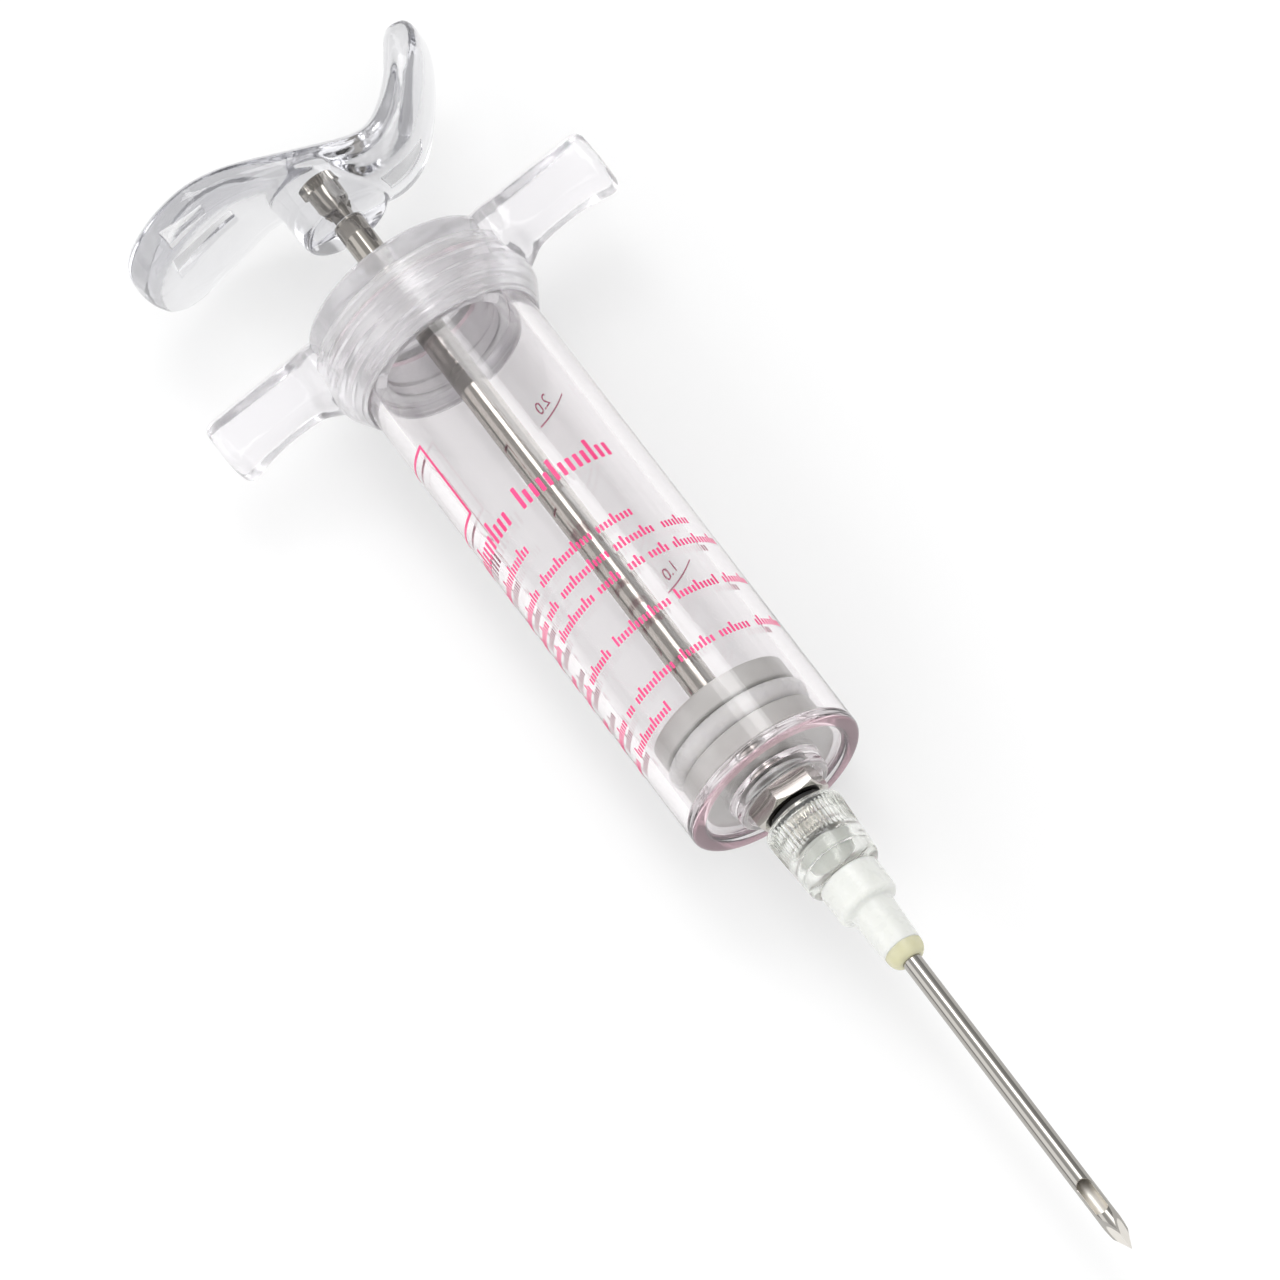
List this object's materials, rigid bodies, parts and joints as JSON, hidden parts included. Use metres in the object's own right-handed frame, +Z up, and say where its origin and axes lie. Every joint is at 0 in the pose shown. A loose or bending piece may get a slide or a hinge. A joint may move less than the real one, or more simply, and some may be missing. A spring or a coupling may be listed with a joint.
{
  "type": "meat injector",
  "caption": "Hand syringe for injecting marinade: clear graduated barrel, finger-grip screw cap, palm-handle plunger and a luer-lock side-port needle.",
  "frame": {"origin": "centre of the bounding box at its bottom: on the surface that the tool lies on, midway between the needle tip and the palm handle", "axes": "+X along the tool's axis towards the needle tip, +Y along the finger grips, +Z up"},
  "size_m": [0.2766, 0.0878, 0.0434],
  "materials": {
    "clear_pink": "clear moulded plastic with a faint pink tint at its edges, printed scale",
    "clear_violet": "clear moulded plastic, faint violet tint, fine turned lines",
    "clear_handle": "clear moulded plastic, glossy",
    "clear_collar": "clear moulded plastic with fine ribs",
    "clear_rubber": "translucent silicone rubber",
    "black_rubber": "matt black",
    "piston_grey": "satin turned",
    "rod_steel": "drawn and polished stainless steel",
    "fitting_metal": "bright turned stainless steel",
    "needle_steel": "drawn stainless steel tube with a ground point",
    "white_plastic": "milky translucent polypropylene",
    "epoxy": "pale yellow cured adhesive"
  },
  "bodies": {
    "barrel": {"barrel": "clear_pink", "fitting_gasket": "clear_rubber", "luer_fitting": "fitting_metal", "tip_seal_ring": "black_rubber"},
    "cap_gasket": {"cap_gasket": "clear_rubber"},
    "cap": {"grip_cap": "clear_violet"},
    "piston": {"piston_rear_plate": "piston_grey", "piston_spool": "piston_grey", "piston_front_plate": "piston_grey", "piston_oring": "clear_rubber"},
    "plunger": {"plunger_rod": "rod_steel", "piston_nut": "fitting_metal", "palm_handle": "clear_handle"},
    "needle": {"needle_hub": "white_plastic", "epoxy_bead": "epoxy", "needle_cannula": "needle_steel"},
    "luer_collar": {"luer_collar": "clear_collar"}
  },
  "joints": [
    {"name": "plunger_slide", "type": "slide", "parent": "barrel", "child": "piston", "axis": [-1, 0, 0], "range_m": [0, 0.088]},
    {"name": "plunger_turn", "type": "hinge", "parent": "piston", "child": "plunger", "pos_m": [0, 0, 0.0217], "axis": [1, 0, 0], "continuous": true},
    {"name": "cap_advance", "type": "slide", "parent": "barrel", "child": "cap_gasket", "axis": [-1, 0, 0], "range_m": [0, 0.01001]},
    {"name": "cap_turn", "type": "hinge", "parent": "cap_gasket", "child": "cap", "pos_m": [-0.09, 0, 0.0217], "axis": [-1, 0, 0], "range_deg": [0, 1440]},
    {"name": "needle_advance", "type": "slide", "parent": "barrel", "child": "needle", "axis": [1, 0, 0], "range_m": [0, 0.005]},
    {"name": "collar_turn", "type": "hinge", "parent": "needle", "child": "luer_collar", "pos_m": [0.04205, 0, 0.0217], "axis": [1, 0, 0], "range_deg": [0, 720.5]}
  ],
  "couplings": [
    {"joint": "cap_advance", "follows": "cap_turn", "m_per_rad": 0.00039789},
    {"joint": "collar_turn", "follows": "needle_advance", "rad_per_m": 2513.3}
  ]
}
